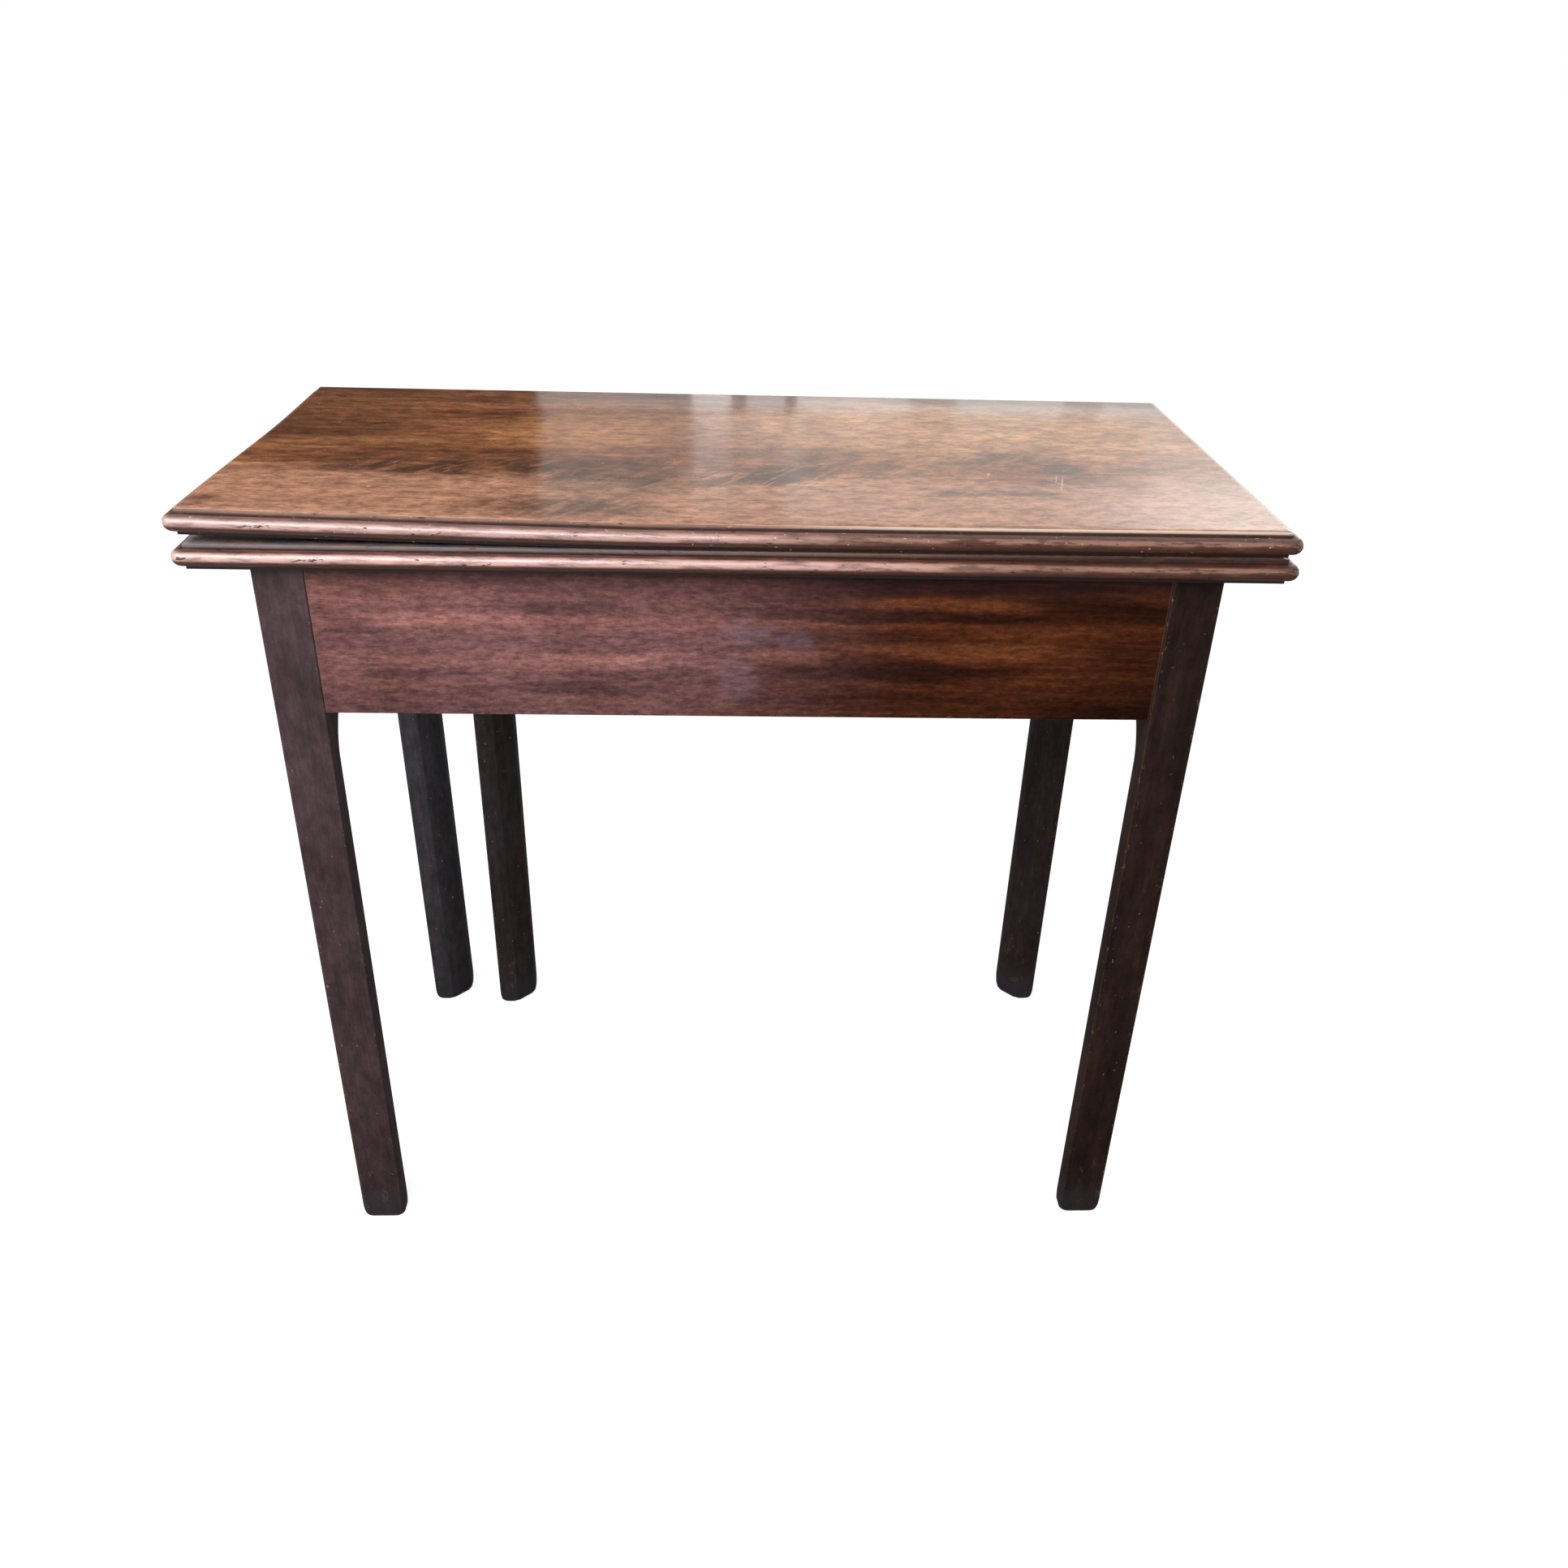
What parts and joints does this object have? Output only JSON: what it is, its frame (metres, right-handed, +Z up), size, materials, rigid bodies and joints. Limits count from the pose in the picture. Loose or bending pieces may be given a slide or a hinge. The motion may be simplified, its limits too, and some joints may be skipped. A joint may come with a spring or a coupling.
{
  "type": "fold-over card table",
  "caption": "Rectangular fold-over card table with a moulded double top, plain frieze, square chamfered legs and a gate leg that swings back to carry the open leaf.",
  "frame": {"origin": "on the floor, under the middle of the closed top", "axes": "+X to the right along the width, +Y from the front to the folding edge at the back, +Z up"},
  "size_m": [0.821, 0.39, 0.7108],
  "materials": {
    "top_mahogany": "worn french polish over red-brown figured mahogany",
    "frame_mahogany": "dark worn polish, rubbed pale on the edges",
    "secondary_wood": "unpolished aged oak, dry and dusty",
    "hinge_brass": "dull aged brass",
    "dark_iron": "hand-finished dark iron",
    "baize": "matt blue-green woollen baize"
  },
  "bodies": {
    "frame": {"lower_leaf": "top_mahogany", "lower_baize": "baize", "front_left_leg": "frame_mahogany", "front_right_leg": "frame_mahogany", "back_left_leg": "frame_mahogany", "back_right_leg": "frame_mahogany", "front_rail": "frame_mahogany", "left_side_rail": "frame_mahogany", "right_side_rail": "frame_mahogany", "inner_back_rail": "secondary_wood", "fixed_fly_rail": "secondary_wood", "front_left_block": "secondary_wood", "front_middle_block": "secondary_wood", "front_right_block": "secondary_wood", "left_block": "secondary_wood", "right_block": "secondary_wood", "back_left_block": "secondary_wood", "back_right_block": "secondary_wood", "knuckle_pin": "dark_iron", "top_screws": "dark_iron", "fly_rail_screws": "dark_iron", "left_lower_hinge_strap": "hinge_brass", "right_lower_hinge_strap": "hinge_brass", "left_lower_hinge_pin": "hinge_brass", "right_lower_hinge_pin": "hinge_brass", "lower_hinge_screws": "hinge_brass"},
    "hinge_links": {"left_hinge_link": "hinge_brass", "right_hinge_link": "hinge_brass"},
    "upper_leaf": {"upper_leaf": "top_mahogany", "upper_baize": "baize", "left_upper_hinge_strap": "hinge_brass", "right_upper_hinge_strap": "hinge_brass", "left_upper_hinge_pin": "hinge_brass", "right_upper_hinge_pin": "hinge_brass", "upper_hinge_screws": "hinge_brass"},
    "gate": {"gate_leg": "frame_mahogany", "swing_fly_rail": "secondary_wood"}
  },
  "joints": [
    {"name": "link_swing", "type": "hinge", "parent": "frame", "child": "hinge_links", "pos_m": [0, 0.189, 0.685], "axis": [-1, 0, 0], "range_deg": [0, 90]},
    {"name": "leaf_fold", "type": "hinge", "parent": "hinge_links", "child": "upper_leaf", "pos_m": [0, 0.189, 0.6978], "axis": [-1, 0, 0], "range_deg": [0, 90]},
    {"name": "gate_swing", "type": "hinge", "parent": "frame", "child": "gate", "pos_m": [0.01, 0.1791, 0.6], "axis": [0, 0, -1], "range_deg": [0, 90]}
  ],
  "couplings": [
    {"joint": "link_swing", "follows": "leaf_fold", "ratio": 1}
  ]
}
